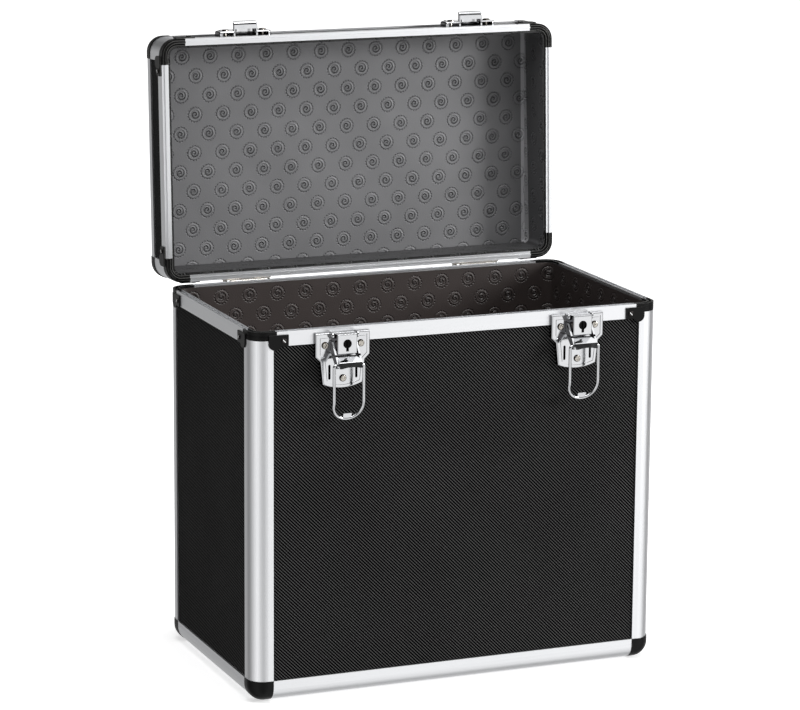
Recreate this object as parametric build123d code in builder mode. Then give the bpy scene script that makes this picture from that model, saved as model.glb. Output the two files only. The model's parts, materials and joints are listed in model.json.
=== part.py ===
"""Aluminium-framed record carrying case: open lid on two hinges, two key latches, a folding handle.

Millimetres. +X is to the right, +Y to the back, +Z up. The origin is the centre of the underside.
The lid stands open against the stops of its hinges, the bails hang from shut levers, and the handle
hangs from its brackets.
"""
import math
import os

from build123d import *

os.makedirs("parts", exist_ok=True)

# ---- The case as a whole -------------------------------------------------------------------
case_width = 354.0
case_depth = 203.0
body_height = 303.2       # floor to the body's mating face
lid_height = 48.9         # the lid's mating face to its top
lid_gap = 0.3             # between the two mating faces when shut
open_angle = 92.6         # degrees that the lid swings, from shut to its stop

# ---- Boards, profiles and lining -----------------------------------------------------------
profile_wall = 1.3        # aluminium outside a board
board = 3.25
board_play = 0.2
profile_lip = 1.0         # aluminium inside a board
edge_size = 18.0          # width of a corner profile on each face
edge_radius = 13.5
board_seat = 6.5          # depth of a board's edge in a corner profile
seat_play = 0.3
rim_web = 2.8             # rim profile above a board's edge
body_flange = 11.8        # height of the body's rim profile
lid_flange = 10.3
lining_thickness = 2.0
lining_below_rim = 1.5
lining_fit = 0.1

# ---- Mating groove and tongue --------------------------------------------------------------
tongue_width = 1.4
tongue_height = 1.2
tongue_side_play = 0.5
tongue_end_play = 0.4

# ---- Plastic corners -----------------------------------------------------------------------
cap_proud = 0.5
corner_arm = 20.9         # length of a rim corner along each side
corner_band = 7.0         # height of a rim corner over its post
band_groove = 0.5
flap_end = 30.3           # far edge of a screwed flap, from the case's corner
flap_below_rim = 2.7
flap_thickness = 1.2
lobe_from_corner = 18.9
lobe_below_rim = 9.6
lobe_radius = 5.1

# ---- Screws and rivets ---------------------------------------------------------------------
screw_radius = 1.2
screw_head = 2.2
screw_head_height = 0.8
screw_from_corner = 26.3
screw_below_rim = 7.4
rivet_radius = 1.25
rivet_head = 2.9
rivet_head_height = 1.3
hole_play = 0.05
facing_angle = 8.0        # degrees, at most, between a face's normal and the way it faces
grip_depth = 2.6          # how far a screw or rivet goes into a board
head_round = 0.7          # rounded share of a head's height

# ---- Latches -------------------------------------------------------------------------------
latch_from_side = 75.0    # centre line of a latch, from the side of the case
plate_proud = 3.2
plate_skin = 1.2
plate_round = 1.1
plate_top = 3.5           # below the rim
plate_half_top = 23.0
plate_half_shoulder = 18.8
plate_half_bottom = 16.8
shoulder_start = 22.5
shoulder_end = 26.5
plate_side_end = 45.0
plate_bottom = 48.5
plate_groove = 0.5        # depth of the line pressed round a plate
groove_inset = 2.6
groove_width = 1.4
upper_rivet_offset = 15.1
upper_rivet_below = 13.2
lower_rivet_below = 40.4
plate_slot_offset = 11.4
plate_slot_width = 2.0
plate_slot_height = 12.0
plate_slot_below = 35.0
skirt_play = 0.1

lever_clearance = 0.4     # behind a shut lever
lever_pivot_below = 5.0
lever_pivot_out = 7.0
pin_radius = 1.0
pin_play = 0.05
lug_thickness = 1.1
lug_radius = 2.4
lug_side_play = 0.3
lever_half_base = 9.7
lever_half_face = 8.15
lever_face_out = 13.0
lever_top_over_pivot = 1.8
lever_box_height = 16.1
lever_skin = 1.5
lever_top_skin = 2.3
lever_back_fillet = 2.0
lever_face_fillet = 0.8
lip_half_width = 9.5
lip_thickness = 1.4
lip_start_out = 12.4
lip_end_out = 20.4
lip_drop = 1.2            # gap between the key box and the lip
lip_slope = 3.8
lip_turn = 3.2            # turned-down front, below the lip's own thickness
lip_bend = 1.3
lip_flare = 1.7           # outward lean of the turned-down front
lip_arch = 0.9            # hollow of the turned-down edge
lip_arch_half = 7.5
cheek_thickness = 1.5
cheek_half_outer = 10.7
cheek_start = 11.0
cheek_round = 1.5
ear_radius = 2.7

lock_below = 11.0
keyhole_radius = 3.6
key_slot_width = 2.3
key_slot_drop = 6.1
lock_boss_radius = 5.4
lock_boss_length = 3.0
lock_play = 0.08
lock_face_sunk = 1.2
lock_flange_radius = 4.8
lock_flange_thickness = 1.2
lock_cam_reach = 6.0
lock_cam_width = 4.0
lock_cam_thickness = 1.6
key_cut_width = 1.0
key_cut_length = 5.0
key_cut_depth = 1.2

bail_pivot_below = 27.0
bail_pivot_out = 16.6
bail_half_width = 12.5
bail_wire = 1.25
bail_leg = 30.5
bail_end = 14.8           # leaning part of the loop, from its bend to its far centre line
bail_lean = 20.0          # degrees that the end of the loop leans towards the case
bail_eye_bend = 1.8
bail_knee_bend = 12.0
bail_round = 12.3
bail_hole_play = 0.08
bail_pin_past_cheek = 0.4
bail_tab_width = 7.0
bail_tab_reach = 5.2
bail_tab_thickness = 1.4

# ---- Strikes on the lid ----------------------------------------------------------------------
strike_proud = 4.4
strike_skin = 1.1
strike_round = 1.8
strike_corner = 2.8
least_corner = 0.3        # left of a corner's rounding where a line runs inside it
strike_near = 2.6         # from the lid's mating face
strike_far = 25.0
strike_shoulder = 15.0
strike_half_near = 23.0
strike_half_far = 17.0
strike_rivet_offset = 16.4
strike_rivet_up = 7.6
hood_half_width = 10.6
hood_reach = 10.8
hood_corner = 7.0
hood_out = 12.4
hood_skin = 1.3
hood_roof = 6.4
hood_brow = 3.0           # rounding of the roof's edge over the opening
hood_edge_fillet = 0.9

# ---- Hinges --------------------------------------------------------------------------------
hinge_from_side = 72.0
hinge_axis_behind = 2.75  # behind the case's back face
hinge_axis_up = -1.75     # upwards from the body's mating face
knuckle_radius = 2.4
hinge_pin_radius = 1.2
hinge_half_length = 16.0
middle_knuckle_half = 5.9
knuckle_gap = 0.2
leaf_thickness = 1.2
leaf_half_width = 21.0
leaf_length = 23.5
leaf_from_axis = 3.2
leaf_play = 0.1
leaf_bend = 1.8
hinge_rivet_offset = 11.0
hinge_rivet_from_rim = 18.5
stop_inner = 18.0
stop_thickness = 2.0
stop_near = 3.6           # behind the axis
stop_far = 9.2
stop_depth = 2.6
stop_gap = 0.25
stop_root = 5.9           # height of a stop where it leaves the leaf
pin_head_radius = 1.8
pin_head_length = 0.8

# ---- Handle on the lid's top -----------------------------------------------------------------
handle_half_width = 64.0
handle_rod = 2.5
handle_drop = 34.0
handle_axis_up = 7.6      # above the lid's top face
handle_bend = 9.0
handle_eye_bend = 4.0
grip_from_bend = 8.0
grip_width = 17.0
grip_thickness = 12.0
grip_end_fillet = 2.5
bracket_gap = 2.5         # between a bracket and the rod's arm
bracket_length = 9.0
bracket_pin_short = 1.0   # of a bracket's inner end
bracket_eye = 4.5
bracket_half_foot = 15.0
bracket_foot_thickness = 1.5
bracket_rivet = 10.5

# ---- Worked out from the above ---------------------------------------------------------------
half_width = case_width / 2
half_depth = case_depth / 2
slot = board + board_play
wall = profile_wall + slot + profile_lip
facing = math.cos(math.radians(facing_angle))
slot_stop = edge_size - board_seat
board_stop = slot_stop + seat_play
lid_mating = body_height + lid_gap
lid_top = lid_mating + lid_height
hinge_y = half_depth + hinge_axis_behind
hinge_z = body_height + hinge_axis_up
hinge_line = Axis((0, hinge_y, hinge_z), (1, 0, 0))
groove_width_across = tongue_width + 2 * tongue_side_play
groove_depth = tongue_height + tongue_end_play
latch_offset = half_width - latch_from_side
hinge_offset = half_width - hinge_from_side
lever_top = lever_pivot_below - lever_top_over_pivot
lever_foot = lever_top + lever_box_height
lever_back = plate_proud + lever_clearance
bracket_inner = handle_half_width - handle_rod - bracket_gap - bracket_length
handle_pin_inner = bracket_inner + bracket_pin_short
grip_half_length = handle_half_width - handle_bend - grip_from_bend


def save(piece, name):
    """Label a finished piece and write it to its own file."""
    piece.label = name
    export_step(piece, f"parts/{name}.step")


def opened(piece):
    """Swing a piece that is drawn on the shut lid up to the hinges' stop."""
    return piece.rotate(hinge_line, -open_angle)


def turned_over(piece):
    """Turn a tray's piece over onto the shut body as the lid, then open it."""
    over = piece.mirror(Plane.XY).moved(Location((0, 0, lid_top)))
    return opened(over)


# Each side of the case as a plane: x to the right seen from outside, y up, z outwards.
face = {
    "front": Plane((0, -half_depth, 0), x_dir=(1, 0, 0), z_dir=(0, -1, 0)),
    "back": Plane((0, half_depth, 0), x_dir=(-1, 0, 0), z_dir=(0, 1, 0)),
    "left": Plane((-half_width, 0, 0), x_dir=(0, -1, 0), z_dir=(-1, 0, 0)),
    "right": Plane((half_width, 0, 0), x_dir=(0, 1, 0), z_dir=(1, 0, 0)),
}
half_length = {"front": half_width, "back": half_width, "left": half_depth, "right": half_depth}

# Each upright corner as a plane whose x and y run inwards along the two faces.
corner = {
    "front_left": Plane((-half_width, -half_depth, 0), x_dir=(1, 0, 0)),
    "front_right": Plane((half_width, -half_depth, 0), x_dir=(0, 1, 0)),
    "back_right": Plane((half_width, half_depth, 0), x_dir=(-1, 0, 0)),
    "back_left": Plane((-half_width, half_depth, 0), x_dir=(0, -1, 0)),
}


def run_plane(side, from_corner, height):
    """A section plane for a profile that runs along a side: x inwards, y up, z along the side."""
    base = face[side]
    start = base.origin - base.x_dir * (half_length[side] - from_corner) + Vector(0, 0, height)
    return Plane(start, x_dir=-base.z_dir, z_dir=base.x_dir)


# ---- The tray: one set of pieces that makes the body, and turned over makes the lid -------------
def corner_section():
    """Section of the corner profile: rounded outside, a board slot in each leg."""
    with BuildSketch() as section:
        Rectangle(edge_size, edge_size, align=(Align.MIN, Align.MIN))
        fillet(section.vertices().sort_by(lambda v: v.X + v.Y)[0], edge_radius)
        with Locations((wall, wall)):
            Rectangle(edge_size, edge_size, align=(Align.MIN, Align.MIN), mode=Mode.SUBTRACT)
        with Locations((slot_stop, profile_wall)):
            Rectangle(edge_size, slot, align=(Align.MIN, Align.MIN), mode=Mode.SUBTRACT)
        with Locations((profile_wall, slot_stop)):
            Rectangle(slot, edge_size, align=(Align.MIN, Align.MIN), mode=Mode.SUBTRACT)
    return section.sketch


def rim_section(flange, tongue):
    """Section of a rim profile: a channel over the board, with a groove or a tongue on top."""
    with BuildSketch() as section:
        Rectangle(wall, flange, align=(Align.MIN, Align.MAX))
        with Locations((profile_wall, -rim_web)):
            Rectangle(slot, flange, align=(Align.MIN, Align.MAX), mode=Mode.SUBTRACT)
        with Locations((wall / 2, 0)):
            if tongue:
                Rectangle(tongue_width, tongue_height, align=(Align.CENTER, Align.MIN))
            else:
                Rectangle(groove_width_across, groove_depth, align=(Align.CENTER, Align.MAX),
                          mode=Mode.SUBTRACT)
    return section.sketch


def screw_points(side, height):
    """The two rim corner screws of a side, on its face plane."""
    across = half_length[side] - screw_from_corner
    return [(-across, height - screw_below_rim), (across, height - screw_below_rim)]


def side_board(side, height, rivets):
    """A board standing in the profiles of one side, drilled for its screws and rivets."""
    with BuildPart() as piece:
        with BuildSketch(face[side].offset(-profile_wall - board)):
            with Locations((0, board_stop)):
                Rectangle(2 * (half_length[side] - board_stop),
                          height - rim_web - board_play - board_stop,
                          align=(Align.CENTER, Align.MIN))
            with Locations(*screw_points(side, height)):
                Circle(screw_radius + hole_play, mode=Mode.SUBTRACT)
            if rivets:
                with Locations(*rivets):
                    Circle(rivet_radius + hole_play, mode=Mode.SUBTRACT)
        extrude(amount=board)
    return piece.part


def floor_board():
    """The board that closes the tray."""
    with BuildPart() as piece:
        with BuildSketch(Plane.XY.offset(profile_wall)):
            Rectangle(2 * (half_width - board_stop), 2 * (half_depth - board_stop))
        extrude(amount=board)
    return piece.part


def lid_top_board():
    """The closing board of the lid, drilled for the handle's rivets."""
    with BuildPart() as piece:
        add(floor_board())
        with BuildSketch(Plane.XY.offset(profile_wall)):
            with Locations(*bracket_rivet_points()):
                Circle(rivet_radius + hole_play)
        extrude(amount=board, mode=Mode.SUBTRACT)
    return piece.part


def post(where, height):
    """An upright corner profile, from the ball corner to the rim corner."""
    with BuildPart() as piece:
        with BuildSketch(corner[where].offset(edge_size)):
            add(corner_section())
        extrude(amount=height - corner_band - edge_size)
    return piece.part


def base_edge(side):
    """A lying corner profile between two ball corners."""
    with BuildPart() as piece:
        with BuildSketch(run_plane(side, edge_size, 0)):
            add(corner_section())
        extrude(amount=2 * (half_length[side] - edge_size))
    return piece.part


def rim(side, height, flange, tongue, rivets):
    """The profile that closes one side's board at the top, drilled for its screws and rivets."""
    with BuildPart() as piece:
        with BuildSketch(run_plane(side, corner_arm, height)):
            add(rim_section(flange, tongue))
        extrude(amount=2 * (half_length[side] - corner_arm))
        with BuildSketch(face[side].offset(-wall / 2)):
            with Locations(*screw_points(side, height)):
                Circle(screw_radius + hole_play)
            if rivets:
                with Locations(*rivets):
                    Circle(rivet_radius + hole_play)
        extrude(amount=wall, mode=Mode.SUBTRACT)
    return piece.part


def ball_corner():
    """A plastic cap where three profiles meet, with slots for the three boards."""
    with BuildPart() as piece:
        with BuildSketch(corner["front_left"]):
            with Locations((-cap_proud, -cap_proud)):
                Rectangle(edge_size + cap_proud, edge_size + cap_proud, align=(Align.MIN, Align.MIN))
        extrude(amount=edge_size)
        outer = piece.vertices().sort_by(lambda v: v.X + v.Y + v.Z)[0]
        fillet([e for e in piece.edges() if outer in e.vertices()], edge_radius)
        for plane in (corner["front_left"], run_plane("front", 0, 0), corner_side_plane()):
            with BuildSketch(plane.offset(wall)):
                with Locations((wall, wall)):
                    Rectangle(edge_size, edge_size, align=(Align.MIN, Align.MIN))
            extrude(amount=edge_size, mode=Mode.SUBTRACT)
            with BuildSketch(plane.offset(profile_wall)):
                with Locations((slot_stop, slot_stop)):
                    Rectangle(edge_size, edge_size, align=(Align.MIN, Align.MIN))
            extrude(amount=slot, mode=Mode.SUBTRACT)
    return piece.part


def corner_side_plane():
    """The front face at the front left corner: x up, y to the right, z inwards."""
    return Plane((-half_width, -half_depth, 0), x_dir=(0, 0, 1), z_dir=(0, 1, 0))


def ring_sketch(near, far):
    """The plan of a rim corner's ring between two distances from the case's outer faces."""
    with BuildSketch() as plan:
        with Locations((near, near)):
            Rectangle(corner_arm - near, corner_arm - near, align=(Align.MIN, Align.MIN))
        fillet(plan.vertices().sort_by(lambda v: v.X + v.Y)[0], edge_radius - near)
        with BuildSketch(mode=Mode.SUBTRACT) as inner:
            with Locations((far, far)):
                Rectangle(corner_arm, corner_arm, align=(Align.MIN, Align.MIN))
            fillet(inner.vertices().sort_by(lambda v: v.X + v.Y)[0], edge_radius - far)
    return plan.sketch


def rim_corner(height, flange, tongue):
    """A plastic corner that closes the rim: a ring over the post and a screwed flap on each face."""
    place = corner["front_left"]
    with BuildPart() as piece:
        with BuildSketch(place.offset(height - corner_band)):
            add(ring_sketch(0, wall))
        extrude(amount=corner_band)
        with BuildSketch(place.offset(height - corner_band / 2 - band_groove / 2)):
            add(ring_sketch(0, band_groove))
        extrude(amount=band_groove, mode=Mode.SUBTRACT)
        if tongue:
            with BuildSketch(place.offset(height)):
                add(ring_sketch((wall - tongue_width) / 2, (wall + tongue_width) / 2))
            extrude(amount=tongue_height)
        else:
            with BuildSketch(place.offset(height - groove_depth)):
                add(ring_sketch((wall - groove_width_across) / 2, (wall + groove_width_across) / 2))
            extrude(amount=groove_depth, mode=Mode.SUBTRACT)
        with BuildSketch(place.offset(height - corner_band)):
            with Locations((slot_stop, profile_wall)):
                Rectangle(edge_size, slot, align=(Align.MIN, Align.MIN))
            with Locations((profile_wall, slot_stop)):
                Rectangle(slot, edge_size, align=(Align.MIN, Align.MIN))
        extrude(amount=corner_band - rim_web, mode=Mode.SUBTRACT)
        for side, turn in (("front", 1), ("left", -1)):
            lobe_x = turn * (lobe_from_corner - half_length[side])
            with BuildSketch(face[side]):
                with Locations((lobe_x, height - flap_below_rim)):
                    Rectangle(flap_end - lobe_from_corner, flange - flap_below_rim,
                              align=(Align.MIN if turn > 0 else Align.MAX, Align.MAX))
                    Rectangle(lobe_radius, lobe_below_rim - flap_below_rim,
                              align=(Align.MAX if turn > 0 else Align.MIN, Align.MAX))
                with Locations((lobe_x, height - lobe_below_rim)):
                    Circle(lobe_radius)
                with Locations(*screw_points(side, height)):
                    Circle(screw_radius + hole_play, mode=Mode.SUBTRACT)
            extrude(amount=flap_thickness)
    return piece.part


def four_corners(piece):
    """The same piece at all four upright corners."""
    with BuildPart() as group:
        add(piece)
        mirror(about=Plane.YZ)
        mirror(about=Plane.XZ)
    return group.part


def lining(height):
    """Foam sheet round the inside of the tray, bent round its corners."""
    inset = wall + lining_fit
    with BuildPart() as piece:
        with BuildSketch(Plane.XY.offset(inset)):
            RectangleRounded(case_width - 2 * inset, case_depth - 2 * inset, edge_radius - inset)
        extrude(amount=height - lining_below_rim - inset)
        hollow = inset + lining_thickness
        with BuildSketch(Plane.XY.offset(hollow)):
            RectangleRounded(case_width - 2 * hollow, case_depth - 2 * hollow, edge_radius - hollow)
        extrude(amount=height, mode=Mode.SUBTRACT)
    return piece.part


def head_and_shank(plane, points, out, head, head_height, shank, depth):
    """Round-headed fasteners on a face: heads stand out from a distance, shanks go inwards."""
    with BuildPart() as group:
        with BuildSketch(plane.offset(out)):
            with Locations(*points):
                Circle(head)
        extrude(amount=head_height)
        fillet(group.faces().filter_by(lambda f: f.normal_at().dot(plane.z_dir) > facing).edges(),
               head_height * head_round)
        with BuildSketch(plane.offset(-depth)):
            with Locations(*points):
                Circle(shank)
        extrude(amount=depth + out)
    return group.part


def corner_screws(height):
    """The eight screws that hold the rim corners."""
    with BuildPart() as group:
        for side in face:
            add(head_and_shank(face[side], screw_points(side, height), flap_thickness, screw_head,
                               screw_head_height, screw_radius, profile_wall + grip_depth))
    return group.part


# ---- Where the rivets go, on the face planes ----------------------------------------------------
def latch_rivet_points(height):
    """Three rivets through each latch plate."""
    points = []
    for centre in (-latch_offset, latch_offset):
        points.append((centre - upper_rivet_offset, height - upper_rivet_below))
        points.append((centre + upper_rivet_offset, height - upper_rivet_below))
        points.append((centre, height - lower_rivet_below))
    return points


def strike_rivet_points(height):
    """Two rivets through each strike, on the tray that becomes the lid."""
    rise = height - strike_rivet_up
    return [(centre + side * strike_rivet_offset, rise)
            for centre in (-latch_offset, latch_offset) for side in (-1, 1)]


def hinge_rivet_points(height):
    """Two rivets through each hinge leaf, at the same distance from the rim on body and lid."""
    rise = height - hinge_rivet_from_rim
    return [(centre + side * hinge_rivet_offset, rise)
            for centre in (-hinge_offset, hinge_offset) for side in (-1, 1)]


def bracket_rivet_points():
    """Two rivets through each handle bracket, in plan."""
    middle = bracket_inner + bracket_length / 2
    return [(end * middle, side * bracket_rivet) for end in (-1, 1) for side in (-1, 1)]


body_rivets = {
    "front": latch_rivet_points(body_height),
    "back": hinge_rivet_points(body_height),
    "left": [],
    "right": [],
}
lid_rivets = {
    "front": strike_rivet_points(lid_height),
    "back": hinge_rivet_points(lid_height),
    "left": [],
    "right": [],
}

# ---- Body ----------------------------------------------------------------------------------
for side in face:
    save(side_board(side, body_height, body_rivets[side]), f"body_{side}_panel")
    save(base_edge(side), f"body_edge_{side}")
    save(rim(side, body_height, body_flange, False, body_rivets[side]), f"body_rim_{side}")
for where in corner:
    save(post(where, body_height), f"body_post_{where}")
save(floor_board(), "body_bottom_panel")
save(four_corners(ball_corner()), "body_ball_corners")
save(four_corners(rim_corner(body_height, body_flange, False)), "body_rim_corners")
save(lining(body_height), "body_lining")
save(corner_screws(body_height), "body_corner_screws")

# ---- Lid -----------------------------------------------------------------------------------
for side in face:
    save(turned_over(side_board(side, lid_height, lid_rivets[side])), f"lid_{side}_panel")
    save(turned_over(base_edge(side)), f"lid_edge_{side}")
    save(turned_over(rim(side, lid_height, lid_flange, True, lid_rivets[side])), f"lid_rim_{side}")
save(turned_over(four_corners(post("front_left", lid_height))), "lid_posts")
save(turned_over(lid_top_board()), "lid_top_panel")
save(turned_over(four_corners(ball_corner())), "lid_ball_corners")
save(turned_over(four_corners(rim_corner(lid_height, lid_flange, True))), "lid_rim_corners")
save(turned_over(lining(lid_height)), "lid_lining")
save(turned_over(corner_screws(lid_height)), "lid_corner_screws")


# ---- Latches: plates, pins and rivets on the body ------------------------------------------------
def latch_plane(sign, height):
    """A latch's own plane on the front: x across, y up from a rim, z out from the case."""
    front = face["front"]
    origin = front.origin + front.x_dir * (sign * latch_offset) + Vector(0, 0, height)
    return Plane(origin, x_dir=front.x_dir, z_dir=front.z_dir)


def side_view(place, across):
    """A latch seen along its pivots: x out from the case, y down from the rim."""
    return Plane(place.origin + place.x_dir * across, x_dir=place.z_dir, z_dir=place.x_dir)


def plate_outline(inset):
    """Outline of a latch plate: shoulders above, a rounded foot below."""
    with BuildSketch() as outline:
        with BuildLine():
            Polyline((-plate_half_bottom, -plate_side_end), (-plate_half_shoulder, -shoulder_end),
                     (-plate_half_top, -shoulder_start), (-plate_half_top, -plate_top),
                     (plate_half_top, -plate_top), (plate_half_top, -shoulder_start),
                     (plate_half_shoulder, -shoulder_end), (plate_half_bottom, -plate_side_end))
            ThreePointArc((plate_half_bottom, -plate_side_end), (0, -plate_bottom),
                          (-plate_half_bottom, -plate_side_end))
        make_face()
        if inset:
            offset(amount=-inset, kind=Kind.INTERSECTION)
    return outline.sketch


def strike_outline(inset):
    """Outline of a strike: a latch plate's shoulders turned to the lid."""
    with BuildSketch() as outline:
        with BuildLine():
            Polyline((-strike_half_near, strike_near), (strike_half_near, strike_near),
                     (strike_half_near, strike_shoulder), (strike_half_far, strike_far),
                     (-strike_half_far, strike_far), (-strike_half_near, strike_shoulder),
                     close=True)
        make_face()
        if inset:
            offset(amount=-inset, kind=Kind.INTERSECTION)
        fillet(outline.vertices(), max(strike_corner - inset, least_corner))
    return outline.sketch


def pressed_plate(place, outline, proud, skin, rounding, flange, upwards):
    """A pressed plate: hollow behind, a line round its front, its skirt down to the board."""
    beyond_flange = flange + skirt_play
    with BuildPart() as piece:
        with BuildSketch(place):
            add(outline(0))
        extrude(amount=proud)
        front = piece.faces().filter_by(lambda f: f.normal_at().dot(place.z_dir) > facing)
        fillet(front.edges(), rounding)
        with BuildSketch(place.offset(-profile_wall)):
            add(outline(0))
            with Locations((0, beyond_flange if upwards else -beyond_flange)):
                Rectangle(case_width, case_width, mode=Mode.INTERSECT,
                          align=(Align.CENTER, Align.MIN if upwards else Align.MAX))
        extrude(amount=profile_wall)
        with BuildSketch(place.offset(-profile_wall)):
            add(outline(skin))
        extrude(amount=profile_wall + proud - skin, mode=Mode.SUBTRACT)
        with BuildSketch(place.offset(proud - plate_groove)):
            add(outline(groove_inset))
            add(outline(groove_inset + groove_width), mode=Mode.SUBTRACT)
        extrude(amount=plate_groove, mode=Mode.SUBTRACT)
    return piece.part


def latch_plate(sign):
    """The plate on the body that carries the lever between two lugs."""
    place = latch_plane(sign, body_height)
    lug_inner = lever_half_base + lug_side_play
    with BuildPart() as piece:
        add(pressed_plate(place, plate_outline, plate_proud, plate_skin, plate_round,
                          body_flange, False))
        with BuildSketch(place):
            with Locations((-plate_slot_offset, -plate_slot_below),
                           (plate_slot_offset, -plate_slot_below)):
                SlotOverall(plate_slot_height, plate_slot_width, rotation=90)
            with Locations((-upper_rivet_offset, -upper_rivet_below),
                           (upper_rivet_offset, -upper_rivet_below), (0, -lower_rivet_below)):
                Circle(rivet_radius + hole_play)
        extrude(amount=plate_proud, mode=Mode.SUBTRACT)
        for start in (lug_inner, -lug_inner - lug_thickness):
            with BuildSketch(side_view(place, start)):
                with Locations((lever_pivot_out, lever_pivot_below)):
                    Circle(lug_radius)
                    Rectangle(lever_pivot_out - plate_proud + plate_skin, 2 * lug_radius,
                              align=(Align.MAX, Align.CENTER))
                    Circle(pin_radius + hole_play, mode=Mode.SUBTRACT)
            extrude(amount=lug_thickness)
    return piece.part


def latch_pins():
    """The two pins that the levers turn on, fixed in the lugs."""
    half = lever_half_base + lug_side_play + lug_thickness
    with BuildPart() as group:
        for sign in (-1, 1):
            with BuildSketch(side_view(latch_plane(sign, body_height), -half)):
                with Locations((lever_pivot_out, lever_pivot_below)):
                    Circle(pin_radius)
            extrude(amount=2 * half)
    return group.part


def body_rivet_group():
    """Rivets of the latch plates and of the hinges' body leaves."""
    with BuildPart() as group:
        add(head_and_shank(face["front"], body_rivets["front"], plate_proud, rivet_head,
                           rivet_head_height, rivet_radius, profile_wall + grip_depth))
        add(head_and_shank(face["back"], body_rivets["back"], leaf_thickness - profile_wall,
                           rivet_head, rivet_head_height, rivet_radius, profile_wall + grip_depth))
    return group.part


# ---- Latches: levers, locks and bails -------------------------------------------------------------
def lever_box(inset, top_inset, back, front):
    """The tapered key box of a lever, or its hollow, between two distances from the case."""
    taper = (lever_half_base - lever_half_face) / (lever_face_out - lever_back)
    with BuildPart() as box:
        for out in (back, front):
            half = lever_half_base - taper * (out - lever_back) - inset
            with BuildSketch(Plane.XY.offset(out)):
                with Locations((0, -lever_top - top_inset)):
                    Rectangle(2 * half, lever_box_height - top_inset - inset,
                              align=(Align.CENTER, Align.MAX))
        loft()
    return box.part


def lever(sign):
    """A lever: key box with its keyhole, two cheeks with ears for the bail, and a flared lip."""
    place = latch_plane(sign, body_height)
    boss_back = lever_face_out - lock_boss_length
    with BuildPart() as piece:
        with Locations(place):
            add(lever_box(0, 0, lever_back, lever_face_out))
        along = piece.edges().filter_by(Axis.X)
        fillet(along.sort_by(lambda e: e.center().Y + e.center().Z)[-1], lever_back_fillet)
        front = piece.faces().sort_by(lambda f: f.center().Y)[0]
        fillet(front.edges(), lever_face_fillet)
        with Locations(place):
            add(lever_box(lever_skin, lever_top_skin, lever_back, lever_face_out - lever_skin),
                mode=Mode.SUBTRACT)
        with BuildSketch(place.offset(boss_back)):
            with Locations((0, -lock_below)):
                Circle(lock_boss_radius)
        extrude(amount=lock_boss_length - lever_skin / 2)
        with BuildSketch(place.offset(boss_back)):
            with Locations((0, -lock_below)):
                Circle(keyhole_radius)
                Rectangle(key_slot_width, key_slot_drop, align=(Align.CENTER, Align.MAX))
        extrude(amount=lock_boss_length, mode=Mode.SUBTRACT)
        for start in (cheek_half_outer - cheek_thickness, -cheek_half_outer):
            with BuildSketch(side_view(place, start)):
                with Locations((lever_back + cheek_round, cheek_start),
                               (lever_back + cheek_round, lever_foot - cheek_round)):
                    Circle(cheek_round)
                with Locations((bail_pivot_out, bail_pivot_below)):
                    Circle(ear_radius)
                make_hull()
                with Locations((bail_pivot_out, bail_pivot_below)):
                    Circle(bail_wire + bail_hole_play, mode=Mode.SUBTRACT)
            extrude(amount=cheek_thickness)
        lip_below = lever_foot + lip_drop
        lip_foot = lip_below + lip_slope + lip_thickness + lip_turn
        lip_inner = lip_end_out - lip_thickness
        with BuildSketch(side_view(place, -lip_half_width)):
            with BuildLine() as section:
                Polyline((lip_start_out, lip_below), (lip_end_out, lip_below + lip_slope),
                         (lip_end_out + lip_flare, lip_foot), (lip_inner + lip_flare, lip_foot),
                         (lip_inner, lip_below + lip_slope + lip_thickness),
                         (lip_start_out, lip_below + lip_thickness), close=True)
                fillet(section.vertices().sort_by_distance((lip_end_out, lip_below + lip_slope))[0],
                       lip_bend)
            make_face()
        extrude(amount=2 * lip_half_width)
        with BuildSketch(place.offset(lip_inner)):
            with BuildLine():
                arch = ThreePointArc((-lip_arch_half, -lip_foot), (0, lip_arch - lip_foot),
                                     (lip_arch_half, -lip_foot))
                Line(arch @ 1, arch @ 0)
            make_face()
        extrude(amount=lip_thickness + lip_flare, mode=Mode.SUBTRACT)
        with BuildSketch(side_view(place, -lever_half_base)):
            with Locations((lever_pivot_out, lever_pivot_below)):
                Circle(pin_radius + pin_play)
        extrude(amount=2 * lever_half_base, mode=Mode.SUBTRACT)
    return piece.part


def lock_core(sign):
    """The plug that a key turns: slotted face, flange behind the box's face, and a cam."""
    place = latch_plane(sign, body_height)
    core_face = lever_face_out - lock_face_sunk
    flange_front = lever_face_out - lock_boss_length - lock_play
    cam_front = flange_front - lock_flange_thickness
    with BuildPart() as piece:
        with BuildSketch(place.offset(cam_front)):
            with Locations((0, -lock_below)):
                Circle(keyhole_radius - lock_play)
        extrude(amount=core_face - cam_front)
        with BuildSketch(place.offset(cam_front)):
            with Locations((0, -lock_below)):
                Circle(lock_flange_radius)
        extrude(amount=lock_flange_thickness)
        with BuildSketch(place.offset(cam_front - lock_cam_thickness)):
            with Locations((0, -lock_below)):
                Circle(lock_cam_width / 2)
                Rectangle(lock_cam_width, lock_cam_reach, align=(Align.CENTER, Align.MAX))
        extrude(amount=lock_cam_thickness)
        with BuildSketch(place.offset(core_face - key_cut_depth)):
            with Locations((0, -lock_below)):
                Rectangle(key_cut_width, key_cut_length)
        extrude(amount=key_cut_depth, mode=Mode.SUBTRACT)
    return piece.part


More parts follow.
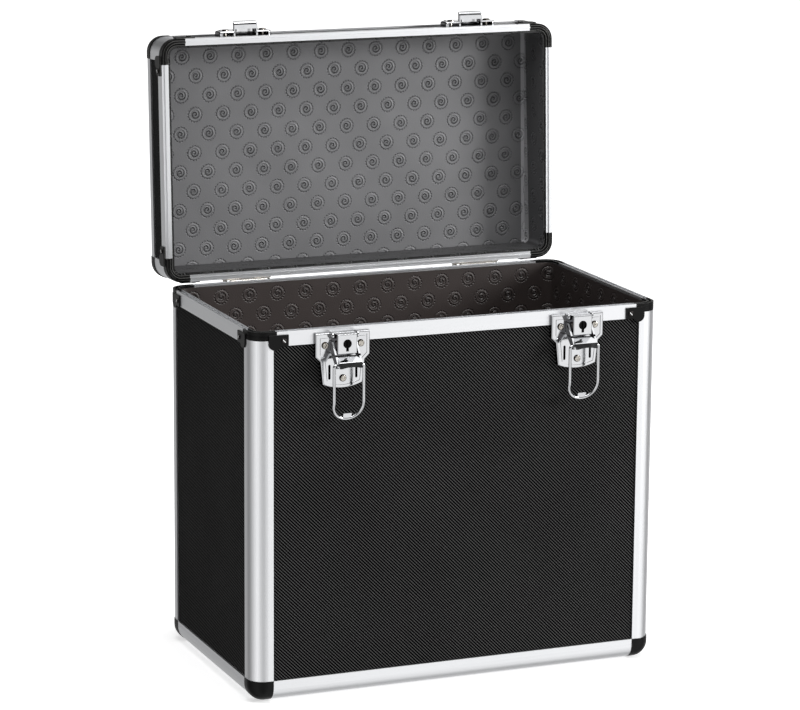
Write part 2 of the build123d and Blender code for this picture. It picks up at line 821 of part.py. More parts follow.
def bail(sign):
    """The wire loop that hangs from a lever's ears and hooks over the strike."""
    place = latch_plane(sign, body_height)
    lean = math.radians(bail_lean)
    knee_below = bail_pivot_below + bail_leg
    end_below = knee_below + bail_end * math.cos(lean)
    end_out = bail_pivot_out - bail_end * math.sin(lean)
    pin_end = cheek_half_outer - cheek_thickness - bail_pin_past_cheek

    def at(across, below, out):
        return place.from_local_coords(Vector(across, -below, out))

    with BuildPart() as piece:
        with BuildLine() as centre_line:
            FilletPolyline(
                at(-pin_end, bail_pivot_below, bail_pivot_out),
                at(-bail_half_width, bail_pivot_below, bail_pivot_out),
                at(-bail_half_width, knee_below, bail_pivot_out),
                at(-bail_half_width, end_below, end_out),
                at(bail_half_width, end_below, end_out),
                at(bail_half_width, knee_below, bail_pivot_out),
                at(bail_half_width, bail_pivot_below, bail_pivot_out),
                at(pin_end, bail_pivot_below, bail_pivot_out),
                radius=(bail_eye_bend, bail_knee_bend, bail_round,
                        bail_round, bail_knee_bend, bail_eye_bend))
        with BuildSketch(side_view(place, -pin_end)):
            with Locations((bail_pivot_out, bail_pivot_below)):
                Circle(bail_wire)
        sweep(path=centre_line.wire())
        tab_up = (at(0, knee_below, bail_pivot_out) - at(0, end_below, end_out)).normalized()
        tab_plane = Plane(at(0, end_below, end_out), x_dir=place.x_dir,
                          z_dir=place.x_dir.cross(tab_up))
        with BuildSketch(tab_plane):
            Rectangle(bail_tab_width, bail_tab_reach, align=(Align.CENTER, Align.MIN))
        extrude(amount=bail_tab_thickness / 2, both=True)
    return piece.part


# ---- Strikes ---------------------------------------------------------------------------------
def hood_outline(inset, near):
    """Plan of a strike's hood or of its hollow: square at the rim, round at the far side."""
    half = hood_half_width - inset
    with BuildSketch() as outline:
        with Locations((0, near)):
            Rectangle(2 * half, hood_reach - inset - near, align=(Align.CENTER, Align.MIN))
        fillet(outline.vertices().group_by(Axis.Y)[-1], hood_corner - inset)
    return outline.sketch


def hood(place):
    """A strike's hood before it is hollowed, its outer edges rounded."""
    with BuildPart() as piece:
        with BuildSketch(place.offset(strike_proud - strike_skin)):
            add(hood_outline(0, strike_near))
        extrude(amount=hood_out - strike_proud + strike_skin)
        top = piece.faces().sort_by(lambda f: f.center().Y)[0]
        brow = top.edges().sort_by(lambda e: e.center().Z)[0]
        fillet(brow, hood_brow)
        top = piece.faces().sort_by(lambda f: f.center().Y)[0]
        fillet(top.edges().sort_by(lambda e: e.center().Z)[1:], hood_edge_fillet)
    return piece.part


def strike(sign):
    """The lid's half of a latch: a plate and a hood, both open towards the rim, that the bail hooks."""
    place = latch_plane(sign, lid_mating)
    with BuildPart() as piece:
        add(pressed_plate(place, strike_outline, strike_proud, strike_skin, strike_round,
                          lid_flange, True))
        with BuildSketch(place):
            with Locations((-strike_rivet_offset, strike_rivet_up),
                           (strike_rivet_offset, strike_rivet_up)):
                Circle(rivet_radius + hole_play)
        extrude(amount=strike_proud, mode=Mode.SUBTRACT)
        add(hood(place))
        with BuildSketch(place):
            add(hood_outline(hood_skin, strike_near))
        extrude(amount=hood_out - hood_roof, mode=Mode.SUBTRACT)
        ear_end = strike_half_near - strike_corner
        with BuildSketch(place):
            with Locations(((ear_end + hood_half_width) / 2, strike_near),
                           (-(ear_end + hood_half_width) / 2, strike_near)):
                Rectangle(ear_end - hood_half_width, strike_skin, align=(Align.CENTER, Align.MIN))
        extrude(amount=strike_proud - strike_skin, mode=Mode.SUBTRACT)
    return piece.part


def lid_rivet_group():
    """Rivets of the strikes, the hinges' lid leaves and the handle brackets, on the lid's tray."""
    top = Plane((0, 0, profile_wall), x_dir=(1, 0, 0), z_dir=(0, 0, -1))
    with BuildPart() as group:
        add(head_and_shank(face["front"], lid_rivets["front"], strike_proud, rivet_head,
                           rivet_head_height, rivet_radius, profile_wall + grip_depth))
        add(head_and_shank(face["back"], lid_rivets["back"], leaf_thickness - profile_wall,
                           rivet_head, rivet_head_height, rivet_radius, profile_wall + grip_depth))
        add(head_and_shank(top, bracket_rivet_points(), bracket_foot_thickness, rivet_head,
                           rivet_head_height, rivet_radius, grip_depth))
    return group.part


# ---- Hinges ----------------------------------------------------------------------------------
def leaf_sketch(rim_height, flange, upwards, reach):
    """Side view of a leaf: flat on the rim profile, then bent down to the board."""
    turn = 1 if upwards else -1
    near = hinge_z + turn * leaf_from_axis
    step = rim_height + turn * (flange + leaf_play)
    far = near + turn * reach
    with BuildSketch() as side:
        with BuildLine():
            Polyline((half_depth, near), (half_depth + leaf_thickness, near),
                     (half_depth + leaf_thickness, step),
                     (half_depth + leaf_thickness - profile_wall, step + turn * leaf_bend),
                     (half_depth + leaf_thickness - profile_wall, far),
                     (half_depth - profile_wall, far), (half_depth - profile_wall, step),
                     (half_depth, step), close=True)
        make_face()
    return side.sketch


def hinge_leaf(centre, rim_height, flange, upwards, knuckles):
    """A hinge leaf with its knuckles, given as pairs of ends along the axis, and rivet holes."""
    turn = 1 if upwards else -1
    web_top = hinge_z + turn * leaf_from_axis
    with BuildPart() as piece:
        with BuildSketch(Plane.YZ.offset(centre - leaf_half_width)):
            add(leaf_sketch(rim_height, flange, upwards, leaf_length))
        extrude(amount=2 * leaf_half_width)
        for start, end in knuckles:
            with BuildSketch(Plane.YZ.offset(centre + start)):
                with Locations((hinge_y, hinge_z)):
                    Circle(knuckle_radius)
                with Locations((half_depth + leaf_play, web_top)):
                    Rectangle(leaf_thickness - leaf_play, leaf_from_axis,
                              align=(Align.MIN, Align.MAX if upwards else Align.MIN))
            extrude(amount=end - start)
        with BuildSketch(Plane.YZ.offset(centre - hinge_half_length)):
            with Locations((hinge_y, hinge_z)):
                Circle(hinge_pin_radius + hole_play)
        extrude(amount=2 * hinge_half_length, mode=Mode.SUBTRACT)
        with BuildSketch(face["back"].offset(-profile_wall)):
            rise = rim_height + turn * hinge_rivet_from_rim
            with Locations((-centre - hinge_rivet_offset, rise), (-centre + hinge_rivet_offset, rise)):
                Circle(rivet_radius + hole_play)
        extrude(amount=profile_wall, mode=Mode.SUBTRACT)
    return piece.part


def stop_outline():
    """Side view of a stop: an arm under the opened lid's leaf."""
    lean = math.radians(open_angle - 90)
    leaf_face = hinge_axis_behind - leaf_thickness
    rest = leaf_face * math.cos(lean) - stop_gap

    def under_leaf(behind):
        return hinge_z + rest - (behind - leaf_face * math.sin(lean)) * math.tan(lean)

    root = hinge_z - leaf_from_axis
    return [
        (half_depth + leaf_thickness / 2, root),
        (hinge_y + stop_near, under_leaf(stop_near)),
        (hinge_y + stop_far, under_leaf(stop_far)),
        (hinge_y + stop_far, under_leaf(stop_far) - stop_depth),
        (half_depth + leaf_thickness / 2, root - stop_root),
    ]


def body_leaf(centre):
    """The body's leaf: two outer knuckles and two stops that hold the opened lid."""
    outer = (middle_knuckle_half + knuckle_gap, hinge_half_length)
    with BuildPart() as piece:
        add(hinge_leaf(centre, body_height, body_flange, False, [outer, (-outer[1], -outer[0])]))
        for start in (stop_inner, -stop_inner - stop_thickness):
            with BuildSketch(Plane.YZ.offset(centre + start)):
                with BuildLine():
                    Polyline(*stop_outline(), close=True)
                make_face()
            extrude(amount=stop_thickness)
    return piece.part


def lid_leaf(centre):
    """The lid's leaf: one knuckle in the middle."""
    middle = (-middle_knuckle_half, middle_knuckle_half)
    return opened(hinge_leaf(centre, lid_mating, lid_flange, True, [middle]))


def hinge_pins():
    """The two hinge pins, headed at both ends."""
    with BuildPart() as group:
        for centre in (-hinge_offset, hinge_offset):
            with BuildSketch(Plane.YZ.offset(centre - hinge_half_length)):
                with Locations((hinge_y, hinge_z)):
                    Circle(hinge_pin_radius)
            extrude(amount=2 * hinge_half_length)
            for start in (hinge_half_length, -hinge_half_length - pin_head_length):
                with BuildSketch(Plane.YZ.offset(centre + start)):
                    with Locations((hinge_y, hinge_z)):
                        Circle(pin_head_radius)
                extrude(amount=pin_head_length)
    return group.part


# ---- Handle ----------------------------------------------------------------------------------
handle_z = lid_top + handle_axis_up
hang = math.radians(open_angle - 90)
hang_y = math.cos(hang)   # the way the handle points on a shut lid, so that it hangs plumb when open
hang_z = math.sin(hang)


def handle_rod_part():
    """The bent steel rod of the handle."""
    far_y = handle_drop * hang_y
    far_z = handle_z + handle_drop * hang_z
    with BuildPart() as piece:
        with BuildLine() as centre_line:
            FilletPolyline(
                (-handle_pin_inner, 0, handle_z), (-handle_half_width, 0, handle_z),
                (-handle_half_width, far_y, far_z), (handle_half_width, far_y, far_z),
                (handle_half_width, 0, handle_z), (handle_pin_inner, 0, handle_z),
                radius=(handle_eye_bend, handle_bend, handle_bend, handle_eye_bend))
        with BuildSketch(Plane.YZ.offset(-handle_pin_inner)):
            with Locations((0, handle_z)):
                Circle(handle_rod)
        sweep(path=centre_line.wire())
    return opened(piece.part)


def handle_grip_part():
    """The oval grip moulded round the rod."""
    centre = (-grip_half_length, handle_drop * hang_y, handle_z + handle_drop * hang_z)
    place = Plane(centre, x_dir=(0, hang_y, hang_z), z_dir=(1, 0, 0))
    with BuildPart() as piece:
        with BuildSketch(place):
            Ellipse(grip_width / 2, grip_thickness / 2)
        extrude(amount=2 * grip_half_length)
        fillet(piece.edges(), grip_end_fillet)
        with BuildSketch(place):
            Circle(handle_rod + hole_play)
        extrude(amount=2 * grip_half_length, mode=Mode.SUBTRACT)
    return opened(piece.part)


def handle_brackets():
    """Two riveted brackets with an eye for the handle's rod."""
    foot_z = lid_top - profile_wall
    with BuildPart() as group:
        for start in (bracket_inner, -bracket_inner - bracket_length):
            with BuildSketch(Plane.YZ.offset(start)):
                with Locations((0, foot_z)):
                    Rectangle(2 * bracket_half_foot, bracket_foot_thickness,
                              align=(Align.CENTER, Align.MIN))
                    Rectangle(2 * bracket_eye, handle_axis_up + profile_wall,
                              align=(Align.CENTER, Align.MIN))
                with Locations((0, handle_z)):
                    Circle(bracket_eye)
                    Circle(handle_rod + pin_play, mode=Mode.SUBTRACT)
            extrude(amount=bracket_length)
        with BuildSketch(Plane.XY.offset(foot_z)):
            with Locations(*bracket_rivet_points()):
                Circle(rivet_radius + hole_play)
        extrude(amount=bracket_foot_thickness, mode=Mode.SUBTRACT)
    return opened(group.part)


for name, sign in (("left", -1), ("right", 1)):
    save(latch_plate(sign), f"latch_plate_{name}")
    save(lever(sign), f"lever_{name}")
    save(lock_core(sign), f"lock_core_{name}")
    save(bail(sign), f"bail_{name}")
    save(opened(strike(sign)), f"strike_{name}")
    save(body_leaf(sign * hinge_offset), f"hinge_body_leaf_{name}")
    save(lid_leaf(sign * hinge_offset), f"hinge_lid_leaf_{name}")
save(latch_pins(), "latch_pins")
save(hinge_pins(), "hinge_pins")
save(body_rivet_group(), "body_rivets")
save(turned_over(lid_rivet_group()), "lid_rivets")
save(handle_rod_part(), "handle_rod")
save(handle_grip_part(), "handle_grip")
save(handle_brackets(), "handle_brackets")
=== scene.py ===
# %% [markdown]
# # Dressing an aluminium-framed record case
# The solids of the case come from a CAD model: boards, extruded profiles, corners, latches, hinges and a
# handle. They already have their real shapes and places, so this script leaves every one where it is. What
# it adds is what CAD leaves out: the finish of each part, softened edges that catch the light, a studio and
# a camera. Everything is in metres, in the CAD model's own frame: X to the right, Y to the back, Z up.

# %% Load the case
import json
import math
from functools import partial

import bpy
from mathutils import Matrix, Vector


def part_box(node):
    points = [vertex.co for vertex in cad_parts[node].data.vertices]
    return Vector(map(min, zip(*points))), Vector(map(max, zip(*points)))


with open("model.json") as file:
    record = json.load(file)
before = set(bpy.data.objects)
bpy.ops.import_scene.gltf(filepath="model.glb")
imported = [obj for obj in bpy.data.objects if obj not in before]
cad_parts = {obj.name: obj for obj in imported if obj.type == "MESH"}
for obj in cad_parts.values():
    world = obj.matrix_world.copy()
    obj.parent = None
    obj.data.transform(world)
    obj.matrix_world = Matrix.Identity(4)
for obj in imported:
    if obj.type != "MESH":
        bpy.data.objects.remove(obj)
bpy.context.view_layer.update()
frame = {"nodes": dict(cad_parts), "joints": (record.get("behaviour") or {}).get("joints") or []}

nodes = frame["nodes"]

# %% [markdown]
# ## Sizes that the finishes follow
# A pattern such as a ridge that runs round a corner has to know where that corner is. These few sizes are
# read from the solids or are the profile's own, in millimetres, and the patterns below are placed by them.

# %% Sizes
MM = 0.001
body_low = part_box("body_post_front_left")[0]
half_width = -body_low.x / MM
half_depth = -body_low.y / MM
edge_radius = 13.5
body_height, lid_gap, lid_height = 303.2, 0.3, 48.9
hinge = next(j for j in frame["joints"] if j["name"] == "lid_hinge")
hinge_at = Vector(hinge["pos_m"])
open_angle = math.radians(-hinge["range_deg"][0])
print("half width", round(half_width, 2), "half depth", round(half_depth, 2),
      "open", round(math.degrees(open_angle), 1))

# %% [markdown]
# ## Colours and nodes
# Colours are given as sRGB hex values, but a shader works in linear light, so one function turns
# the one into the other. Another adds a shader node with its settings and its links in one line. What goes
# into a socket may be a number, a colour or another node, so a chain of them reads like a recipe: a MapRange,
# for one, takes the value, the two ends that it comes in by and the two that it goes out by. Each material
# gets that function already tied to its own tree of nodes, under the short name `add`.


# %% Helpers
def linear(code):
    """An sRGB hex colour as the linear RGBA that Blender's sockets take."""
    channels = [int(code[i:i + 2], 16) / 255 for i in (1, 3, 5)]
    return [c / 12.92 if c <= 0.04045 else ((c + 0.055) / 1.055) ** 2.4 for c in channels] + [1.0]


def feed(node, sockets):
    """Fill a node's sockets, found by name or place, with a value, an output or a node's first output."""
    for name, value in sockets.items():
        if isinstance(value, bpy.types.Node):
            value = value.outputs[0]
        if isinstance(value, bpy.types.NodeSocket):
            node.id_data.links.new(value, node.inputs[name])
        else:
            node.inputs[name].default_value = value


def add_node(tree, kind, *values, **settings):
    """Add a node such as "TexNoise" or "Math ADD". Values fill its sockets in order, or by name in a dict."""
    kind, _, operation = kind.partition(" ")
    made = tree.nodes.new("ShaderNode" + kind)
    if operation:
        made.operation = operation
    for name, value in settings.items():
        setattr(made, name, value)
    for place, value in enumerate(values):
        feed(made, value if isinstance(value, dict) else {place: value})
    return made


def new_material(name, colour, metallic, roughness):
    """A material, the function that adds nodes to it, and its Principled shader at a plain start."""
    made = bpy.data.materials.new(name)
    made.use_nodes = True
    shader = made.node_tree.nodes["Principled BSDF"]
    feed(shader, {"Base Color": linear(colour), "Metallic": metallic, "Roughness": roughness})
    return made, partial(add_node, made.node_tree), shader


print("white in linear light:", linear("#ffffff"), "mid grey:", round(linear("#808080")[0], 3))

# %% [markdown]
# ## Camera
# A product photographer stands back and zooms in, so that upright edges stay nearly parallel. The lens here
# is about 155 mm on a 36 mm sensor. The camera looks from the left of the front and a little from above. Its
# place is given by where the case's front left foot lies from the lens: to the right, up and away.

# %% Place the camera
azimuth, elevation, roll = (math.radians(a) for a in (-22.495, 12.484, 0.445))
foot_from_lens = (-0.117627, -0.279602, 2.740755)
focal_pixels, picture_width, sensor_width = 3435.54, 800, 36.0
back = Vector((math.sin(azimuth) * math.cos(elevation),
               -math.cos(azimuth) * math.cos(elevation), math.sin(elevation)))
level_right = (-back).cross(Vector((0, 0, 1))).normalized()
level_up = level_right.cross(-back)
right = math.cos(roll) * level_right + math.sin(roll) * level_up
up = math.cos(roll) * level_up - math.sin(roll) * level_right
foot = Vector((-half_width * MM, -half_depth * MM, 0))
lens_at = foot - (right * foot_from_lens[0] + up * foot_from_lens[1] - back * foot_from_lens[2])
camera = bpy.data.objects.new("camera", bpy.data.cameras.new("camera"))
bpy.context.scene.collection.objects.link(camera)
turn = Matrix((right, up, back)).transposed()
camera.matrix_world = Matrix.Translation(lens_at) @ turn.to_4x4()
camera.data.sensor_width = sensor_width
camera.data.lens = focal_pixels * sensor_width / picture_width
camera.data.clip_end = 50
bpy.context.scene.camera = camera
print("camera at", [round(v, 3) for v in lens_at], "lens", round(camera.data.lens, 1), "mm")

# %% [markdown]
# ## Studio
# The case stands in front of plain white, but bare metal has no look of its own: it shows the room. So the
# room has light and dark in it all round, given by the compass heading from the case. Low down it is bright,
# above that it fades into a dim studio, and overhead hangs a soft box. A Light Path node tells three kinds
# of ray apart: the camera sees white, a mirrored ray sees this room, and all others meet an even, soft light
# that is a little stronger from the right. So the room's light and dark show in gloss and metal alone.

# %% Studio brightness
scene = bpy.context.scene
scene.view_settings.view_transform = "Standard"
# Heading in degrees, from the back by way of the right, and how bright the room is that way.
headings = ((0, 0.5), (25, 0.9), (60, 0.6), (95, 0.3), (120, 1.0), (146, 1.36), (160, 1.2), (173, 0.76),
            (190, 0.48), (205, 0.68), (235, 1.32), (266, 0.75), (292, 0.22), (312, 0.2), (328, 0.38),
            (348, 0.46), (360, 0.5))
eased = {"interpolation_type": "SMOOTHSTEP"}       # a MapRange that starts and ends softly


def seen_directly(add):
    """1 for rays from the camera, and 1 for rays that metal mirrors or glass lets through."""
    paths = add("LightPath")
    mirrored = add("Math MAXIMUM", paths.outputs["Is Glossy Ray"], paths.outputs["Is Transmission Ray"])
    return paths.outputs["Is Camera Ray"], mirrored


def round_the_case(add, x, y):
    """Brightness of the room by heading."""
    turn = add("Math DIVIDE", add("Math ARCTAN2", x, y), 2 * math.pi)
    ramp = add("ValToRGB", add("Math FRACT", turn))
    stops = ramp.color_ramp.elements
    spare = 0.5                                    # where the ramp's own second stop waits to be removed
    stops[1].position = spare
    for heading, bright in headings:
        stop = stops[0] if heading == 0 else stops.new(heading / 360)
        stop.color = (bright, bright, bright, 1)
    stops.remove(next(stop for stop in stops if stop.position == spare))
    ramp.color_ramp.interpolation = "EASE"
    return ramp


print("room brightness from", min(b for _, b in headings), "to", max(b for _, b in headings))

# %% [markdown]
# ## World
# The world shader puts that room together. Heights are given as the upward part of a direction, from -1
# straight down to 1 straight up. The low light reaches higher at the back of the room than at the front, and
# it is a little weaker straight down.

# %% World
ambient, more_from_right = 0.34, 0.45
low_light_front, low_light_back = 0.12, 0.34       # how high the low light reaches
straight_down, floor_spread = 0.8, -0.22           # its strength there, and where it is whole again
dim_room, softbox_above = 0.04, 1.6
softbox_from, softbox_whole = 0.62, 0.8
world = bpy.data.worlds.new("white studio")
scene.world = world
world.use_nodes = True
world.node_tree.nodes.clear()
add = partial(add_node, world.node_tree)
direct, mirrored = seen_directly(add)
x, y, z = add("SeparateXYZ", add("TexCoord").outputs["Generated"]).outputs
top_of_light = add("MapRange", y, -0.2, 0.4, low_light_front, low_light_back, **eased)
height = add("Math DIVIDE", z, top_of_light)
low_light = add("Math MULTIPLY", round_the_case(add, x, y),
                add("MapRange", height, 0.0, 1.0, 1.0, 0.0, **eased))
low_light = add("Math MULTIPLY", low_light,
                add("MapRange", z, -1.0, floor_spread, straight_down, 1.0, **eased))
overhead = add("MapRange", z, softbox_from, softbox_whole, dim_room, softbox_above, **eased)
room = add("Math ADD", low_light, overhead)
lean = add("Math ADD", add("Math MULTIPLY", x, more_from_right), 1.0)
soft_light = add("Math MULTIPLY", lean, ambient)
strength = add("Mix", {"Factor": mirrored, "A": soft_light, "B": room})
strength = add("Mix", {"Factor": direct, "A": strength, "B": 1.0})
ground = add("Background", {"Color": (1, 1, 1, 1), "Strength": strength})
add("OutputWorld", {"Surface": ground})
print("world nodes:", len(world.node_tree.nodes))

# %% [markdown]
# ## Table
# The case stands on a sheet painted matt white, which bounces soft light up and takes a shadow. The paint
# itself would look grey, so it also glows, but only for the camera: fully white a hand's width from the
# case, and weaker right beside it, where a case darkens what it stands on. Mirrored rays pass through the
# table, so the low profiles show the room's light and dark instead. It is stage, not part of the case.


# %% Table
def outside(add, x, y, half_x, half_y):
    """How far a point lies, in plan, outside a rectangle about the middle."""
    squares = []
    for along, half in ((x, half_x), (y, half_y)):
        past = add("Math MAXIMUM", add("Math SUBTRACT", add("Math ABSOLUTE", along), half), 0.0)
        squares.append(add("Math MULTIPLY", past, past))
    return add("Math SQRT", add("Math ADD", *squares))


table_material, add, shader = new_material("white painted table", "#e8e8e8", 0.0, 0.6)
feed(shader, {"Specular IOR Level": 0.0})
shadow_reach, glow_beside, glow_away = 0.07, 0.58, 1.0           # the reach is in metres
direct = seen_directly(add)[0]
x, y, _ = add("SeparateXYZ", add("NewGeometry").outputs["Position"]).outputs
away = outside(add, x, y, half_width * MM, half_depth * MM)
glow = add("MapRange", away, 0.0, shadow_reach, glow_beside, glow_away, **eased)
white = add("Emission", {"Color": (1, 1, 1, 1), "Strength": add("Math MULTIPLY", glow, direct)})
feed(table_material.node_tree.nodes["Material Output"], {"Surface": add("AddShader", shader, white)})
hair_below = 0.0005                                # metres, so that the sheet and the case don't share a face
bpy.ops.mesh.primitive_plane_add(size=12, location=(0, 2, -hair_below))
table = bpy.context.object
table.name = "table"
table.data.materials.append(table_material)
table.visible_glossy = False
print("table", [round(v, 1) for v in table.dimensions], "m")

# %% [markdown]
# ## Lamps and a grey card
# Two large soft boxes light the case. The key stands to the right of the front, and the top one picks out
# the rims and the corners. A large lamp close by gives shadows with soft edges. A grey card on the right is
# there for the metal: faces that are turned that way mirror its even grey. It throws no shadow, bounces no
# light, and the camera doesn't see it.


# %% Lamps and a grey card
def aim(thing, place, target):
    """Stand a lamp or a card at a place, its front turned to a target."""
    away = (Vector(place) - Vector(target)).normalized()
    thing.matrix_world = Matrix.Translation(place) @ away.to_track_quat("Z", "Y").to_matrix().to_4x4()


def softbox(name, place, target, size, watts):
    """A large rectangular lamp."""
    data = bpy.data.lights.new(name, "AREA")
    data.shape = "RECTANGLE"
    data.size, data.size_y = size
    data.energy = watts
    lamp = bpy.data.objects.new(name, data)
    scene.collection.objects.link(lamp)
    aim(lamp, place, target)


middle = (0, 0, 0.25)
softbox("key", (2.1, -1.5, 1.05), middle, (0.8, 0.9), 53)
softbox("top", (-0.1, -0.45, 2.1), middle, (1.4, 0.8), 24)

card_material = new_material("grey studio card", "#6a6a6c", 0.0, 0.9)[0]
bpy.ops.mesh.primitive_plane_add(size=1)
card = bpy.context.object
card.name = "grey card"
card.scale = (0.8, 1.2, 1)
bpy.ops.object.transform_apply(location=False, rotation=False)
aim(card, (1.8, -0.3, 0.3), middle)
card.data.materials.append(card_material)
card.visible_camera = False
card.visible_shadow = False
card.visible_diffuse = False
print("lamps:", [(light.name, light.energy) for light in bpy.data.lights])

# %% [markdown]
# ## Where a point lies on a tray
# The body and the lid are two trays of the same make. A finish such as the boards' lines or the lining's
# emboss has to run level with its own tray, also where the lid stands open, so its coordinates are the
# object's own in millimetres, and for the lid they are turned back about the hinge. Turned back, the lid
# lies shut on the body, so one set of sizes serves both.


# %% Tray coordinates
faces_it = 0.7                                     # how much of a normal lies along the axis it faces


def tray(add, on_lid):
    """A point in its tray's upright frame, in millimetres, and its normal there."""
    source = add("TexCoord")
    point, normal = source.outputs["Object"], source.outputs["Normal"]
    if on_lid:
        back_to_shut = {"rotation_type": "X_AXIS"}
        point = add("VectorRotate", {"Vector": point, "Center": hinge_at, "Angle": open_angle},
                    **back_to_shut)
        normal = add("VectorRotate", {"Vector": normal, "Angle": open_angle}, **back_to_shut)
    return add("VectorMath SCALE", point, {"Scale": 1 / MM}), normal


def on_face(add, point, normal):
    """Flat coordinates on whichever face of the tray a point is: (across, up)."""
    x, y, z = add("SeparateXYZ", point).outputs
    nx, _, nz = add("SeparateXYZ", normal).outputs
    side = add("Math GREATER_THAN", add("Math ABSOLUTE", nx), faces_it)
    flat = add("Math GREATER_THAN", add("Math ABSOLUTE", nz), faces_it)
    across = add("Mix", {"Factor": side, "A": x, "B": y})
    rise = add("Mix", {"Factor": flat, "A": z, "B": y})
    return across, rise


print("the lid's points are turned by", round(math.degrees(open_angle), 1), "degrees")

# %% [markdown]
# ## Laminated boards
# The boards are thin plywood faced with a black ABS laminate. The laminate is rolled while warm between
# engraved cylinders, which leaves fine ridges at 45 degrees about 2 mm apart, crossed by a fainter set, so
# it looks like a dark twill. Ridges this fine need no geometry. Two sine waves across the diagonals make
# the height, and the crests are painted lighter in clouds, a painted highlight on each ridge. Such a skin
# has hardly any sheen, so the specular level is far below that of smooth plastic.


# %% Laminate
def laminate(name, on_lid):
    """Black ABS, rolled warm between engraved cylinders: a dull twill of fine diagonal ridges."""
    made, add, shader = new_material(name, "#141414", 0.0, 0.6)
    ridge_pitch = 2.8                              # mm, measured level along the board
    main_share, crossing_share, crest_sharpness = 0.43, 0.07, 3.9
    clouds_per_mm, least_crest_light, crest_light_range = 0.012, 0.8, 0.4
    point, normal = tray(add, on_lid)
    across, rise = on_face(add, point, normal)
    turns = 2 * math.pi / ridge_pitch
    main = add("Math SINE", add("Math MULTIPLY", add("Math ADD", across, rise), turns))
    crossing = add("Math SINE", add("Math MULTIPLY", add("Math SUBTRACT", across, rise), turns))
    height = add("Math ADD", add("Math MULTIPLY", main, main_share),
                 add("Math MULTIPLY", crossing, crossing_share))
    crest = add("Math POWER", add("Math ADD", height, 0.5), crest_sharpness)
    cloud = add("TexNoise", {"Vector": point, "Scale": clouds_per_mm, "Detail": 3.0})
    painted_crest_light = add("Math ADD", add("Math MULTIPLY", cloud, crest_light_range), least_crest_light)
    # The crests are painted lighter, in clouds: a painted highlight on the ridges.
    colour = add("ValToRGB", add("Math MULTIPLY", crest, painted_crest_light))
    for stop, tone in zip(colour.color_ramp.elements, ("#020202", "#5c5c5c")):
        stop.color = linear(tone)
    bump = add("Bump", {"Strength": 0.35, "Distance": 0.00015, "Height": height})
    feed(shader, {"Specular IOR Level": 0.005, "Base Color": colour, "Normal": bump})
    print(name, "ridges", round(ridge_pitch / math.sqrt(2), 2), "mm apart")
    return made


body_laminate = laminate("black ABS laminate", False)
lid_laminate = laminate("black ABS laminate on the lid", True)

# %% [markdown]
# ## Anodised aluminium profiles
# The corner and rim profiles are extruded, so every flaw of the die is drawn into a line along the whole
# length, and then satin anodised. The eye gets a soft grey metal whose highlights are stretched across the
# lines. Noise squeezed hard along one axis makes those die lines. A metal takes its colour from its base
# colour, and keeps the default IOR.


# %% Aluminium
def anodised(name, on_lid, axis):
    """Satin anodised aluminium whose die lines run along one axis of the tray."""
    made, add, shader = new_material(name, "#e4e5e7", 1.0, 0.36)
    line_pitch, line_length, grains_per_mm = 0.5, 160.0, 1.6         # mm, mm, per mm
    line_share, grain_share = 0.8, 0.25
    smoothest, dullest = 0.30, 0.42
    point = tray(add, on_lid)[0]
    squeeze = [1 / line_pitch] * 3
    squeeze["XYZ".index(axis)] = 1 / line_length
    stretched = add("VectorMath MULTIPLY", point, squeeze)
    lines = add("TexNoise", {"Vector": stretched, "Scale": 1.0, "Detail": 2.0})
    grain = add("TexNoise", {"Vector": point, "Scale": grains_per_mm, "Detail": 2.0})
    height = add("Math ADD", add("Math MULTIPLY", lines, line_share),
                 add("Math MULTIPLY", grain, grain_share))
    bump = add("Bump", {"Strength": 0.16, "Distance": 0.0001, "Height": height})
    rough = add("MapRange", lines, 0.3, 0.7, smoothest, dullest)
    feed(shader, {"Normal": bump, "Roughness": rough})
    return made


profiles = {(lid, axis): anodised(f"satin anodised aluminium {'lid' if lid else 'body'} {axis}", lid, axis)
            for lid in (False, True) for axis in "XYZ"}
print("aluminium materials:", len(profiles))

# %% [markdown]
# ## Moulded corners
# The corners are injection moulded black ABS with a satin skin. The rim corners have fine ridges on top
# that follow their bend, and their crests are painted pale, a painted highlight. A sine wave of the distance
# from the corner's centre draws them, because that distance stays the same along a side and round a corner,
# and only upward faces take them.


# %% Black plastic
def moulded(name, on_lid, ridges):
    """Black ABS with the satin grain of its mould."""
    black, painted_crest_light = "#090909", "#5c5c5a"
    made, add, shader = new_material(name, black, 0.0, 0.3)
    grain_size, ridge_pitch = 0.6, 1.9             # mm
    grain_share, faces_up = 0.18, 0.9
    smoothest, dullest = 0.26, 0.44
    point, normal = tray(add, on_lid)
    grain = add("TexNoise", {"Vector": point, "Scale": 1 / grain_size, "Detail": 3.0})
    height = add("Math MULTIPLY", grain, grain_share)
    if ridges:
        x, y, _ = add("SeparateXYZ", point).outputs
        ring = outside(add, x, y, half_width - edge_radius, half_depth - edge_radius)
        wave = add("Math SINE", add("Math MULTIPLY", ring, 2 * math.pi / ridge_pitch))
        nz = add("SeparateXYZ", normal).outputs[2]
        upward = add("Math GREATER_THAN", add("Math ABSOLUTE", nz), faces_up)
        height = add("Math ADD", height, add("Math MULTIPLY", wave, upward))
        # The crests are painted pale: a painted highlight on each ridge.
        crest = add("MapRange", wave, 0.5, 1.0, 0.0, 1.0, **eased)
        colour = add("ValToRGB", add("Math MULTIPLY", crest, upward))
        for stop, tone in zip(colour.color_ramp.elements, (black, painted_crest_light)):
            stop.color = linear(tone)
        feed(shader, {"Base Color": colour})
    bump = add("Bump", {"Strength": 0.7, "Distance": 0.0003, "Height": height})
    rough = add("MapRange", {"Value": grain, "To Min": smoothest, "To Max": dullest})
    feed(shader, {"Specular IOR Level": 0.14, "Normal": bump, "Roughness": rough})
    return made


